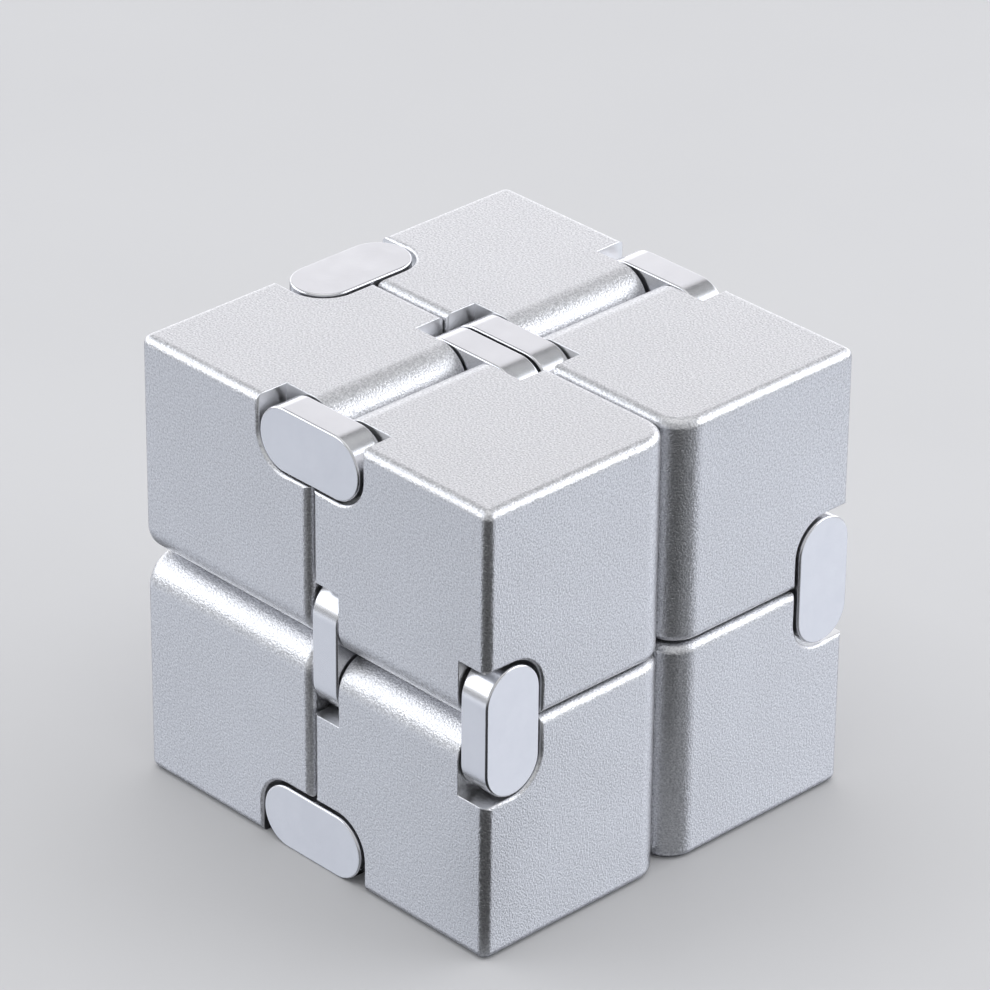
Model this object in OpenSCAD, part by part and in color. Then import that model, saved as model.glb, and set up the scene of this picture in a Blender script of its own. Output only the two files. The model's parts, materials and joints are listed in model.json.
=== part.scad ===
// Infinity fidget cube.
// Eight metal blocks are joined in a closed ring by eight double-pin hinges, so that the
// cube turns inside out without end. Each hinge has two link plates, sunk in pockets at the
// two ends of its edge, and two steel pins, one through each block.
//
// Frame: +Z is up, +X is right and +Y is back. The origin is under the middle of the cube,
// on the surface that it stands on.

/* [Cube] */
// Side of the closed cube
cube_side = 40; // [34:0.5:50]
// Gap between neighbouring blocks
seam_gap = 0.24; // [0.2:0.02:0.4]
// Radius of the fine edges of a block
fine_edge_r = 0.8; // [0.5:0.05:1]

/* [Hinges] */
// Distance from a pin to the two faces beside it, and radius of the rolled edge around it
pin_depth = 2.8; // [2.4:0.1:3.2]
// Diameter of the steel pins
pin_d = 2.4; // [1.8:0.1:2.6]
// Radial clearance of a pin in its block
pin_clearance = 0.05; // [0.02:0.01:0.1]
// Thickness of a link plate
link_t = 2.9; // [2.4:0.1:3.2]
// Metal left over the pins in a link plate
link_cap = 1; // [0.8:0.1:1.2]
// How far the links stand out of the outer faces
link_rise = 0.05; // [0:0.01:0.1]

/* [Pockets] */
// Clearance between the round end of a link plate and its pocket
pocket_clearance = 0.3; // [0.3:0.05:0.8]
// Clearance under a link plate
pocket_floor_clearance = 0.2; // [0.12:0.01:0.3]

/* [Hidden] */
$fn = 96;
half = cube_side / 2;
near = seam_gap / 2;
pin_seam = near + pin_depth;
pin_out = half - pin_depth;
pin_r = pin_d / 2;
bore_r = pin_r + pin_clearance;
pocket_r = pin_depth + pocket_clearance;
pocket_t = link_t + pocket_floor_clearance;
margin = 1;

// Blocks: name, then the side of the cube along X, Y and Z
BLOCKS = [
    ["block_top_front_left", [-1, -1, 1]],
    ["block_top_front_right", [1, -1, 1]],
    ["block_bottom_front_right", [1, -1, -1]],
    ["block_bottom_front_left", [-1, -1, -1]],
    ["block_bottom_back_left", [-1, 1, -1]],
    ["block_bottom_back_right", [1, 1, -1]],
    ["block_top_back_right", [1, 1, 1]],
    ["block_top_back_left", [-1, 1, 1]],
];

// Direction of a hinge's pins. The value is how often X -> Y -> Z -> X takes the hinge
// frame, where the pins run along Y, to the cube's frame.
PINS_ALONG_Y = 0;
PINS_ALONG_Z = 1;
PINS_ALONG_X = 2;

// Hinges: name, pin direction, the side of the cube along the pins, the side of the face
// that it lies in, the play that lifts it, and the names of its two pins by their place
HINGES = [
    ["top_front", PINS_ALONG_Y, -1, 1, link_rise, ["left", "right"]],
    ["top_back", PINS_ALONG_Y, 1, 1, link_rise, ["left", "right"]],
    ["bottom_front", PINS_ALONG_Y, -1, -1, link_rise, ["left", "right"]],
    ["bottom_back", PINS_ALONG_Y, 1, -1, link_rise, ["left", "right"]],
    ["left_upper", PINS_ALONG_Z, 1, -1, link_rise, ["front", "back"]],
    ["left_lower", PINS_ALONG_Z, -1, -1, 0, ["front", "back"]],
    ["right_front", PINS_ALONG_X, 1, -1, link_rise, ["lower", "upper"]],
    ["right_back", PINS_ALONG_X, 1, 1, link_rise, ["lower", "upper"]],
];

ENDS = ["outer", "inner"];

function link_name(hinge, end) = str("link_", hinge[0], "_", end);
function pin_name(hinge, i) = str("pin_", hinge[0], "_", hinge[5][i]);

// Turns X to Y, Y to Z and Z to X, n times
module cycle(n) {
    if (n == 0) children();
    else multmatrix([[0, 0, 1, 0], [1, 0, 0, 0], [0, 1, 0, 0]]) cycle(n - 1) children();
}

// Mirrors along each axis that has a side of -1
module to_side(side) {
    mirror([side.x < 0 ? 1 : 0, 0, 0])
        mirror([0, side.y < 0 ? 1 : 0, 0])
            mirror([0, 0, side.z < 0 ? 1 : 0])
                children();
}

// Hinge frame to cube frame: X across the seam, Y along the pins, Z out of the face
module in_hinge_frame(hinge) {
    translate([0, 0, half]) cycle(hinge[1]) to_side([1, hinge[2], hinge[3]]) children();
}

// Extrudes an outline in X and Z along Y
module along_pins(from, to) {
    translate([0, to, 0]) rotate([90, 0, 0]) linear_extrude(to - from) children();
}

// What a round edge of radius r takes off a corner that lies at the origin and points to +X +Y
module corner_waste(r) {
    difference() {
        translate([-r, -r]) square(r + margin);
        translate([-r, -r]) circle(r);
    }
}

// Outline of a block seen along one axis: one rolled corner and three fine ones
module block_outline() {
    difference() {
        translate([near, near]) square(half - near);
        translate([near, half]) mirror([1, 0]) corner_waste(pin_depth);
        translate([half, half]) corner_waste(fine_edge_r);
        translate([near, near]) mirror([1, 0]) mirror([0, 1]) corner_waste(fine_edge_r);
        translate([half, near]) mirror([0, 1]) corner_waste(fine_edge_r);
    }
}

// Block before its pockets are cut: three rolled edges that do not meet
module block_blank() {
    intersection() {
        along_pins(near, half) block_outline();
        cycle(1) along_pins(near, half) block_outline();
        cycle(2) along_pins(near, half) block_outline();
    }
}

// Outline of a pocket: round the pin on the inner side, open to the seam and to the face
module pocket_outline() {
    translate([pin_seam, pin_out]) circle(pocket_r);
    translate([-margin, pin_out - pocket_r]) square([pin_seam + margin, pocket_r + pin_depth + margin]);
    translate([-margin, pin_out]) square([pin_seam + pocket_r + margin, pin_depth + margin]);
}

// What one hinge takes out of a block: a pocket at each end and a bore between them
module hinge_cut() {
    along_pins(-margin, near + pocket_t) pocket_outline();
    along_pins(half - pocket_t, half + margin) pocket_outline();
    along_pins(-margin, half + margin) translate([pin_seam, pin_out]) circle(bore_r);
}

module block(side) {
    second_hinge = side.x < 0 ? PINS_ALONG_Z : PINS_ALONG_X;
    color("gainsboro")
        translate([0, 0, half])
            to_side(side)
                difference() {
                    block_blank();
                    cycle(PINS_ALONG_Y) hinge_cut();
                    cycle(second_hinge) hinge_cut();
                }
}

// Outline of a link plate: a bar with round ends, one around each pin
module link_outline() {
    translate([-pin_seam, pin_out - pin_depth]) square([2 * pin_seam, 2 * pin_depth]);
    for (i = [-1, 1])
        translate([i * pin_seam, pin_out]) circle(pin_depth);
}

// Link plate with two blind holes for the pins, open towards the block's middle
module link_plate(hinge, end) {
    is_outer = end == "outer";
    from = is_outer ? half + hinge[4] - link_t : near + hinge[4];
    to = from + link_t;
    hole_from = is_outer ? from - margin : from + link_cap;
    hole_to = is_outer ? to - link_cap : to + margin;
    color("lightsteelblue")
        in_hinge_frame(hinge)
            difference() {
                along_pins(from, to) link_outline();
                for (i = [-1, 1])
                    along_pins(hole_from, hole_to) translate([i * pin_seam, pin_out]) circle(pin_r);
            }
}

// Pin, pressed into both link plates and turning in its block
module hinge_pin(hinge, i) {
    color("silver")
        in_hinge_frame(hinge)
            along_pins(near + hinge[4] + link_cap, half + hinge[4] - link_cap)
                translate([(2 * i - 1) * pin_seam, pin_out]) circle(pin_r);
}

for (b = BLOCKS) block(b[1]);
for (h = HINGES, e = ENDS) link_plate(h, e);
for (h = HINGES, i = [0, 1]) hinge_pin(h, i);
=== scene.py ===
import json
import math

import bmesh
import bpy
from mathutils import Matrix, Vector

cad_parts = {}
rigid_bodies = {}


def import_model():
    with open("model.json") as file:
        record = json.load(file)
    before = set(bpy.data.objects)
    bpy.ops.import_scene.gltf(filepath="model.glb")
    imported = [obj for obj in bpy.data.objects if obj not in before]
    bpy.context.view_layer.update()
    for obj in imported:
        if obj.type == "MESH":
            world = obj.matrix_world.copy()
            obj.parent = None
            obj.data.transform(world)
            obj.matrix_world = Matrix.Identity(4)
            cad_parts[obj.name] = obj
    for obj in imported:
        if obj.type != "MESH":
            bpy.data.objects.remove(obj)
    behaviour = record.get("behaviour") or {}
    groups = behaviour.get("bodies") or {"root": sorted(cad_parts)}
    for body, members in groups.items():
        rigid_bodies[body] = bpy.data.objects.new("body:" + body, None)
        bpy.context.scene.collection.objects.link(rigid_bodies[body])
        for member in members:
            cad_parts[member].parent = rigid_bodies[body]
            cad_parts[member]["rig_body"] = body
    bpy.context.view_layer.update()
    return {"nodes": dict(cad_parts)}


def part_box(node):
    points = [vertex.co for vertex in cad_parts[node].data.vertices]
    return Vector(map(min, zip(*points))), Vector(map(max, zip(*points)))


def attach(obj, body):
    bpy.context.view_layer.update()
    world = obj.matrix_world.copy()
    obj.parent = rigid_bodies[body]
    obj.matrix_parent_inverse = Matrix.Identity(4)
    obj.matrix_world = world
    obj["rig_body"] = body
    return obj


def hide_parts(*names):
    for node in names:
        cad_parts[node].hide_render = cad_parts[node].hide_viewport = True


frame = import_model()

# The meshes are made in millimetres around the cube's centre, and brought to metres at the end.
MM = 0.001

# Driving sizes, from the boxes of one block and one link plate
block_low, block_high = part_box("block_top_back_right")
link_low, link_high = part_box("link_top_front_outer")
HALF = block_high.x / MM
NEAR = block_low.x / MM
PIN_DEPTH = (link_high.z - link_low.z) / 2 / MM
PIN_SEAM = link_high.x / MM - PIN_DEPTH
PIN_OUT = HALF - PIN_DEPTH
LINK_T = (link_high.y - link_low.y) / MM
CUBE_CENTRE = Vector((0, 0, block_high.x))

# Sizes that these boxes don't show
POCKET_CLEARANCE = 0.3
POCKET_FLOOR_CLEARANCE = 0.2
PIN_CLEARANCE = 0.05
PIN_R = 1.2
LINK_CAP = 1.0
POCKET_R = PIN_DEPTH + POCKET_CLEARANCE
POCKET_T = LINK_T + POCKET_FLOOR_CLEARANCE
BORE_R = PIN_R + PIN_CLEARANCE

# Widths of the broken edges: a block's own, a pocket's rim around a link's face, a pocket's
# rim beside a link, and a link's own
FINE_EDGE = 0.8
MOUTH_EDGE = 0.34
NOTCH_EDGE = 0.08
LINK_EDGE = 0.18

# Steps of a large arc and of a broken edge, and how far a cutter runs out of the metal
ARC_STEPS = 24
EDGE_STEPS = 5
MARGIN = 1.0

# How near a point is to a surface that it lies on, and how near two corners are that are one
TOUCH = 0.01
WELD = 1e-4

# From which turn between two faces their edge is broken, and from which it is shaded sharp
BROKEN_ANGLE = math.radians(20)
SHARP_ANGLE = math.radians(35)

# A block's material slots, for its outside and for the walls that were cut
OUTSIDE, WALLS = 0, 1

# Turns X to Y, Y to Z and Z to X
CYCLE = Matrix(((0, 0, 1, 0), (1, 0, 0, 0), (0, 1, 0, 0), (0, 0, 0, 1)))
# How often a hinge frame, where the pins run along Y, is turned to run along each axis
TURNS = {"y": 0, "z": 1, "x": 2}


# ------------------------------------------------------------- materials


def node_adder(owner):
    """A function that adds a node, with its settings and inputs, to a material or world."""
    owner.use_nodes = True
    tree = owner.node_tree
    tree.nodes.clear()

    def add(kind, inputs=None, **settings):
        node = tree.nodes.new(kind)
        for key, value in settings.items():
            setattr(node, key, value)
        for key, value in (inputs or {}).items():
            if isinstance(value, bpy.types.NodeSocket):
                tree.links.new(value, node.inputs[key])
            else:
                node.inputs[key].default_value = value
        return node

    return add


def new_material(name):
    """A material, its node adder and the place in the object, in metres."""
    mat = bpy.data.materials.new(name)
    add = node_adder(mat)
    return mat, add, add("ShaderNodeTexCoord").outputs["Object"]


def noise(add, place, scale, detail, roughness=0.5):
    """A noise of so many cells to a metre."""
    inputs = {"Vector": place, "Scale": scale, "Detail": detail, "Roughness": roughness}
    return add("ShaderNodeTexNoise", inputs).outputs["Fac"]


def remap(add, value, to_low, to_high, low=0.3, high=0.7):
    """Spreads the middle of a value's range over another range, held at both ends."""
    inputs = {"Value": value, "From Min": low, "From Max": high, "To Min": to_low, "To Max": to_high}
    return add("ShaderNodeMapRange", inputs).outputs["Result"]


def noise_colour(add, value, dark, light):
    """A colour that follows a noise from a dark to a light one."""
    factor = remap(add, value, 0.0, 1.0)
    mix = add("ShaderNodeMixRGB", {"Fac": factor, "Color1": (*dark, 1), "Color2": (*light, 1)})
    return mix.outputs["Color"]


def end_surface(add, inputs):
    shader = add("ShaderNodeBsdfPrincipled", inputs)
    add("ShaderNodeOutputMaterial", {"Surface": shader.outputs["BSDF"]})


def end_metal(add, colour, roughness, relief, strength, depth):
    """A metal's surface. Its relief is a bump of a strength and a depth, in metres."""
    bump = add("ShaderNodeBump", {"Height": relief, "Strength": strength, "Distance": depth})
    normal = bump.outputs["Normal"]
    end_surface(add, {"Base Color": colour, "Metallic": 1.0, "Roughness": roughness, "Normal": normal})


def blasted_aluminium():
    """Bead-blasted, clear anodised aluminium: a fine, even, sparkling grain."""
    mat, add, place = new_material("blasted_aluminium")
    grain = noise(add, place, scale=6200.0, detail=1.0)
    cloud = noise(add, place, scale=170.0, detail=2.0)
    colour = noise_colour(add, grain, (0.6, 0.605, 0.63), (0.94, 0.945, 0.97))
    roughness = remap(add, cloud, 0.34, 0.38)
    end_metal(add, colour, roughness, grain, strength=1.0, depth=0.000042)
    return mat


def milled_aluminium():
    """The walls of the pockets and bores, as the cutter left them: smooth, with a faint haze."""
    mat, add, place = new_material("milled_aluminium")
    haze = noise(add, place, scale=900.0, detail=3.0)
    colour = noise_colour(add, haze, (0.86, 0.865, 0.88), (0.92, 0.925, 0.94))
    roughness = remap(add, haze, 0.3, 0.36)
    end_metal(add, colour, roughness, haze, strength=0.1, depth=0.00002)
    return mat


def satin_metal():
    """The link plates' smooth satin metal, with a faint cloudy haze."""
    mat, add, place = new_material("satin_metal")
    haze = noise(add, place, scale=420.0, detail=4.0, roughness=0.55)
    fine = noise(add, place, scale=9000.0, detail=2.0)
    colour = noise_colour(add, haze, (0.79, 0.795, 0.825), (0.84, 0.845, 0.875))
    roughness = remap(add, haze, 0.2, 0.25)
    end_metal(add, colour, roughness, fine, strength=0.08, depth=0.00002)
    return mat


def ground_steel():
    """The pins' ground steel, slightly uneven."""
    mat, add, place = new_material("ground_steel")
    wear = noise(add, place, scale=2500.0, detail=2.0)
    colour = noise_colour(add, wear, (0.5, 0.51, 0.53), (0.6, 0.61, 0.63))
    roughness = remap(add, wear, 0.22, 0.34)
    end_metal(add, colour, roughness, wear, strength=0.1, depth=0.00002)
    return mat


def pale_floor():
    """A smooth pale floor with a faint cloud in it."""
    mat, add, place = new_material("pale_floor")
    cloud = noise(add, place, scale=30.0, detail=2.0)
    colour = noise_colour(add, cloud, (0.515, 0.515, 0.525), (0.525, 0.525, 0.535))
    end_surface(add, {"Base Color": colour, "Roughness": 0.3})
    return mat


def dark_mirror(name, tone):
    """A dark polished sheet with a faint cloud in it, for the metal to mirror."""
    mat, add, place = new_material(name)
    cloud = noise(add, place, scale=12.0, detail=1.0)
    tint = (0.96, 0.98, 1.03)
    dark, light = ([tone * level * part for part in tint] for level in (0.98, 1.02))
    colour = noise_colour(add, cloud, dark, light)
    end_surface(add, {"Base Color": colour, "Metallic": 1.0, "Roughness": 0.2})
    return mat


# ---------------------------------------------------------------- meshes


def arc(centre, radius, start, end, steps=ARC_STEPS):
    """Points on an arc in a plane, from one angle in degrees to another."""
    angles = [math.radians(start + (end - start) * i / steps) for i in range(steps + 1)]
    return [(centre[0] + radius * math.cos(a), centre[1] + radius * math.sin(a)) for a in angles]


def circle(centre, radius):
    return arc(centre, radius, 0, 360, 2 * ARC_STEPS)[:-1]


def loft(rings):
    """A closed shell through rings of points, with a flat cap at each end."""
    bm = bmesh.new()
    rings = [[bm.verts.new(p) for p in ring] for ring in rings]
    for low, high in zip(rings, rings[1:]):
        for i in range(len(low)):
            j = (i + 1) % len(low)
            bm.faces.new((low[i], low[j], high[j], high[i]))
    bm.faces.new(rings[0])
    bm.faces.new(rings[-1])
    bmesh.ops.recalc_face_normals(bm, faces=bm.faces)
    return bm


def prism(outline, low, high):
    """Runs an outline in X and Z along Y."""
    return loft([[(x, y, z) for x, z in outline] for y in (low, high)])


def new_object(name, data):
    """An object in the scene."""
    obj = bpy.data.objects.new(name, data)
    bpy.context.scene.collection.objects.link(obj)
    return obj


def temporary_object(bm):
    mesh = bpy.data.meshes.new("temporary")
    bm.to_mesh(mesh)
    bm.free()
    return new_object("temporary", mesh)


def applied(obj, *spent):
    """The mesh of an object with its modifiers applied. The object and its spent tools are removed."""
    graph = bpy.context.evaluated_depsgraph_get()
    mesh = bpy.data.meshes.new_from_object(obj.evaluated_get(graph))
    for o in (obj, *spent):
        bpy.data.objects.remove(o)
    return mesh


def minus(bm, cutters):
    """Subtracts the cutters and gives the sharp-edged mesh that is left."""
    body = temporary_object(bm)
    tools = [temporary_object(c) for c in cutters]
    for tool in tools:
        cut = body.modifiers.new("cut", "BOOLEAN")
        cut.operation = "DIFFERENCE"
        cut.solver = "EXACT"
        cut.object = tool
    return applied(body, *tools)


def turned(bm, axis):
    """Turns what is made around pins along Y to pins along another axis."""
    for _ in range(TURNS[axis]):
        bm.transform(CYCLE)
    return bm


def rolled_axes():
    """A block's rolled edges: each edge's axis, the axis across its seam and the axis out of its face."""
    return [(axis, (axis + 2) % 3, (axis + 1) % 3) for axis in range(3)]


def block_blank():
    """A block with its three rolled edges, in the corner where X, Y and Z are positive."""
    size = HALF - NEAR
    middle = NEAR + size / 2
    bm = bmesh.new()
    bmesh.ops.create_cube(bm, size=size, matrix=Matrix.Translation((middle, middle, middle)))

    def is_rolled(edge):
        a, b = (v.co for v in edge.verts)
        for axis, seam, out in rolled_axes():
            if abs(a[axis] - b[axis]) > size / 2:
                return a[seam] < middle < a[out]

    rolled = [e for e in bm.edges if is_rolled(e)]
    bmesh.ops.bevel(bm, geom=rolled, offset=PIN_DEPTH, segments=ARC_STEPS, profile=0.5, affect="EDGES")
    return bm


def hinge_cutters(axis):
    """What a hinge takes out of a block: a pocket at each end and a bore for the pin between them."""
    pin = (PIN_SEAM, PIN_OUT)
    below, above = NEAR - MARGIN, HALF + MARGIN
    pocket = [(below, above), (below, PIN_OUT - POCKET_R)]
    pocket += arc(pin, POCKET_R, -90, 0) + [(PIN_SEAM + POCKET_R, above)]
    runs = [
        (pocket, below, NEAR + POCKET_T),
        (pocket, HALF - POCKET_T, above),
        (circle(pin, BORE_R), NEAR + POCKET_T / 2, HALF - POCKET_T / 2),
    ]
    return [turned(prism(*run), axis) for run in runs]


def depth_in_blank(p):
    """How deep a point lies under the nearest flat or rolled face of the blank."""
    depth = min(min(p[i] - NEAR, HALF - p[i]) for i in range(3))
    for _, seam, out in rolled_axes():
        across, outward = p[seam] - PIN_SEAM, p[out] - PIN_OUT
        if across < 0 < outward:
            depth = min(depth, PIN_DEPTH - math.hypot(across, outward))
    return depth


def rim_width(p):
    """How much is broken off a pocket's rim: around a link's face more than beside the link."""
    for axis, seam, out in rolled_axes():
        in_pocket = p[seam] < PIN_SEAM + POCKET_R + TOUCH and p[out] > PIN_OUT - POCKET_R - TOUCH
        if in_pocket and min(p[axis] - NEAR, HALF - p[axis]) < TOUCH:
            return MOUTH_EDGE
    return NOTCH_EDGE


def weigh_edges(mesh):
    """Gives outside edges their share of the bevel, less at pocket rims, and marks the cut walls."""
    bm = bmesh.new()
    bm.from_mesh(mesh)
    bmesh.ops.remove_doubles(bm, verts=bm.verts, dist=WELD)
    weight = bm.edges.layers.float.new("bevel_weight_edge")
    on_skin = {f: depth_in_blank(f.calc_center_median()) < TOUCH for f in bm.faces}
    for face in bm.faces:
        face.material_index = OUTSIDE if on_skin[face] else WALLS
    for edge in bm.edges:
        if edge.is_convex and edge.calc_face_angle() > BROKEN_ANGLE:
            middle = (edge.verts[0].co + edge.verts[1].co) / 2
            # By how many of the edge's two faces lie on the skin: none, one or both
            shares = (0, rim_width(middle) / FINE_EDGE, 1)
            edge[weight] = shares[sum(on_skin[f] for f in edge.link_faces)]
    return bm


def shade(mesh):
    """Smooth shading, but for the edges that stay sharp."""
    bm = bmesh.new()
    bm.from_mesh(mesh)
    for face in bm.faces:
        face.smooth = True
    for edge in bm.edges:
        edge.smooth = edge.calc_face_angle(0) < SHARP_ANGLE
    bm.to_mesh(mesh)
    bm.free()
    return mesh


def block_mesh(second_hinge):
    """A finished block, whose two hinges have their pins along Y and along a second axis."""
    sharp = minus(block_blank(), hinge_cutters("y") + hinge_cutters(second_hinge))
    body = temporary_object(weigh_edges(sharp))
    bevel = body.modifiers.new("edges", "BEVEL")
    bevel.limit_method = "WEIGHT"
    bevel.width = FINE_EDGE
    bevel.segments = EDGE_STEPS
    bevel.use_clamp_overlap = False
    bevel.material = OUTSIDE
    return shade(applied(body))


def link_mesh():
    """A link plate from Y = 0 to its thickness, with round ends and rims and two blind pin holes."""
    turn = [math.radians(90 * i / EDGE_STEPS) for i in range(EDGE_STEPS + 1)]
    rim = [(LINK_EDGE * (1 - math.cos(a)), LINK_EDGE * (1 - math.sin(a))) for a in turn]
    levels = rim + [(LINK_T - y, inset) for y, inset in reversed(rim)]

    def outline(inset):
        radius = PIN_DEPTH - inset
        return arc((PIN_SEAM, 0), radius, -90, 90) + arc((-PIN_SEAM, 0), radius, 90, 270)

    body = loft([[(x, y, z) for x, z in outline(inset)] for y, inset in levels])
    holes = [prism(circle((x, 0), PIN_R), -MARGIN, LINK_T - LINK_CAP) for x in (-PIN_SEAM, PIN_SEAM)]
    return shade(minus(body, holes))


def add_piece(name, mesh, place, materials, node):
    """Puts a mesh at its place, in metres, and lets it stand for its CAD node."""
    mesh = mesh.copy()
    mesh.name = name
    mesh.transform(place)
    if place.is_negative:
        mesh.flip_normals()
    for material in materials:
        mesh.materials.append(material)
    piece = new_object(name, mesh)
    flats = piece.modifiers.new("flats", "WEIGHTED_NORMAL")
    flats.keep_sharp = True
    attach(piece, frame["nodes"][node]["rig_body"])
    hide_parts(node)


# ---------------------------------------------------------------- pieces

BLASTED = blasted_aluminium()
MILLED = milled_aluminium()
SATIN = satin_metal()
STEEL = ground_steel()

block_left = block_mesh("z")
block_right = block_mesh("x")
plate = link_mesh()


def build_block(node):
    """A block in its node's corner of the cube, with the mesh that has its hinges."""
    low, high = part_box(node)
    side = [1 if (low[i] + high[i]) / 2 > CUBE_CENTRE[i] else -1 for i in range(3)]
    mesh = block_left if side[0] < 0 else block_right
    place = Matrix.Translation(CUBE_CENTRE) @ Matrix.Scale(MM, 4) @ Matrix.Diagonal((*side, 1))
    add_piece("shell_" + node, mesh, place, (BLASTED, MILLED), node)


def build_link(node):
    """A plate at its node's place, with its pin holes towards the hinge's other plate."""
    low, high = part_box(node)
    pair = ("outer", "inner") if node.endswith("outer") else ("inner", "outer")
    other_low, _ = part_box(node.replace(*pair))
    size = high - low
    axis = min(range(3), key=lambda i: size[i])
    side = 1 if low[axis] > other_low[axis] else -1
    place = Matrix.Translation((low + high) / 2) @ Matrix.Scale(MM, 4)
    for _ in range(TURNS["xyz"[axis]]):
        place = place @ CYCLE
    place = place @ Matrix.Diagonal((1, side, 1, 1)) @ Matrix.Translation((0, -LINK_T / 2, 0))
    add_piece("plate_" + node, plate, place, (SATIN,), node)


def build_pin(node):
    """A pin stays as the CAD has it and gets its material."""
    pin = frame["nodes"][node].data
    pin.materials.clear()
    pin.materials.append(STEEL)


BUILDERS = {"block": build_block, "link": build_link, "pin": build_pin}
for node in sorted(frame["nodes"]):
    BUILDERS[node.split("_")[0]](node)


# ----------------------------------------------------------------- stage


def add_sheet(name, corners, height, material):
    """A flat sheet that lies at a height, with its corners in turn."""
    mesh = bpy.data.meshes.new(name)
    mesh.from_pydata([(x, y, height) for x, y in corners], [], [range(len(corners))])
    mesh.materials.append(material)
    sheet = new_object(name, mesh)
    return sheet


def add_mirrored_sheet(name, corners, height, tone):
    """A dark polished sheet that only reflections see."""
    sheet = add_sheet(name, corners, height, dark_mirror(name, tone))
    sheet.visible_camera = False
    sheet.visible_diffuse = False
    sheet.visible_shadow = False


def build_floor():
    """A pale floor to look at. The metal mirrors a dark table top instead, and on it a near-black card of
    painted shade that stands in for the shaded floor in front of the cube.
    """
    reach = 3
    square = [(-reach, -reach), (reach, -reach), (reach, reach), (-reach, reach)]
    floor = add_sheet("floor", square, height=0, material=pale_floor())
    floor.visible_glossy = False
    add_mirrored_sheet("mirrored_table", square, height=0, tone=0.435)

    # The card runs out from the cube's front right edge and widens on the way. Its near-black tone is
    # painted shade, which darkens the rolled edges' reflection of the floor at the front right.
    near, far, spread = 0.03, 0.3, 0.65
    card = [(near, -near * spread), (far, -far * spread), (far, far * spread), (near, near * spread)]
    turn = Matrix.Rotation(math.radians(-45), 2)
    add_mirrored_sheet("shade_card", [turn @ Vector(c) for c in card], height=0.0002, tone=0.05)


def direction(azimuth, elevation):
    """From the cube towards a viewer at that azimuth and elevation, in degrees."""
    a, e = math.radians(azimuth), math.radians(elevation)
    return Vector((math.sin(a) * math.cos(e), -math.cos(a) * math.cos(e), math.sin(e)))


def add_lamp(name, place, facing, width, height, radiance, colour):
    """A rectangular lamp that shines against the direction in which it is seen."""
    lamp = bpy.data.lights.new(name, "AREA")
    lamp.shape = "RECTANGLE"
    lamp.size = width
    lamp.size_y = height
    lamp.energy = radiance * math.pi * width * height
    lamp.color = colour
    obj = new_object(name, lamp)
    obj.location = place
    obj.rotation_euler = facing.to_track_quat("Z", "Y").to_euler()
    return obj


def add_standing_box(name, azimuth, distance, width, low, high, radiance, colour):
    """A softbox that stands upright beside the cube, from one height to another."""
    away = direction(azimuth, 0)
    place = away * distance + Vector((0, 0, (low + high) / 2))
    add_lamp(name, place, away, width, high - low, radiance, colour)


def build_lights():
    """A bright box at each side and a panel behind. The floor has a lamp that the metal doesn't mirror."""
    side = {"distance": 0.36, "width": 0.53, "low": 0.07, "high": 0.38}
    back = {"distance": 0.5, "width": 0.8, "low": 0.001, "high": 0.5}
    add_standing_box("left_box", azimuth=-56, **side, radiance=1.72, colour=(0.93, 0.955, 1.0))
    add_standing_box("right_box", azimuth=148, **side, radiance=2.16, colour=(0.94, 0.96, 1.0))
    add_standing_box("back_panel", azimuth=226, **back, radiance=0.87, colour=(0.985, 0.975, 1.0))
    above = {"place": (0, 0, 0.6), "facing": Vector((0, 0, 1)), "width": 0.7, "height": 0.7}
    floor_lamp = add_lamp("floor_lamp", **above, radiance=1.6, colour=(1, 1, 1))
    floor_lamp.visible_glossy = False


def add_ramp(add, height, stops):
    """Cool grey tones by height, from 0 to 1. Above the last stop they run on to white."""
    cool = (0.98, 0.99, 1.0)
    ramp = add("ShaderNodeValToRGB", {"Fac": height})
    elements = ramp.color_ramp.elements
    elements.remove(elements[0])
    for level, tone in stops:
        elements.new(level).color = (*(tone * part for part in cool), 1)
    return ramp.outputs["Color"]


def build_room():
    """The room's dim light: even at the front right, and with a dark belt in its height elsewhere."""
    world = bpy.data.worlds.new("studio")
    add = node_adder(world)
    way = add("ShaderNodeSeparateXYZ", {"Vector": add("ShaderNodeTexCoord").outputs["Generated"]}).outputs
    belted = add_ramp(add, way["Z"], ((0.0, 0.75), (0.25, 0.7), (0.4, 0.06), (0.68, 0.03), (0.81, 0.6)))
    even = add_ramp(add, way["Z"], ((0.0, 0.65), (0.4, 0.5), (0.8, 0.6)))
    ahead = add("ShaderNodeMath", {0: way["X"], 1: way["Y"]}, operation="SUBTRACT")
    front = remap(add, ahead.outputs["Value"], 0.0, 1.0, low=0.3, high=0.9)
    tone = add("ShaderNodeMixRGB", {"Fac": front, "Color1": belted, "Color2": even})
    sky = add("ShaderNodeBackground", {"Color": tone.outputs["Color"]})
    add("ShaderNodeOutputWorld", {"Surface": sky.outputs["Background"]})
    bpy.context.scene.world = world


def build_camera():
    """A long lens from the front right and above, fitted to the photograph."""
    azimuth, elevation, roll = 46.2, 29.0, 0.56
    distance = 0.451
    aim = Vector((-0.064, -0.066, 26.08)) * MM
    back = direction(azimuth, elevation)
    lens = bpy.data.cameras.new("camera")
    lens.sensor_width = 36
    lens.lens = 204.8
    lens.clip_start = 0.01
    camera = new_object("camera", lens)
    look = back.to_track_quat("Z", "Y").to_matrix().to_4x4()
    tilt = Matrix.Rotation(math.radians(roll), 4, "Z")
    camera.matrix_world = Matrix.Translation(aim + back * distance) @ look @ tilt
    bpy.context.scene.camera = camera


build_floor()
build_lights()
build_room()
build_camera()
bpy.context.scene.view_settings.view_transform = "Standard"
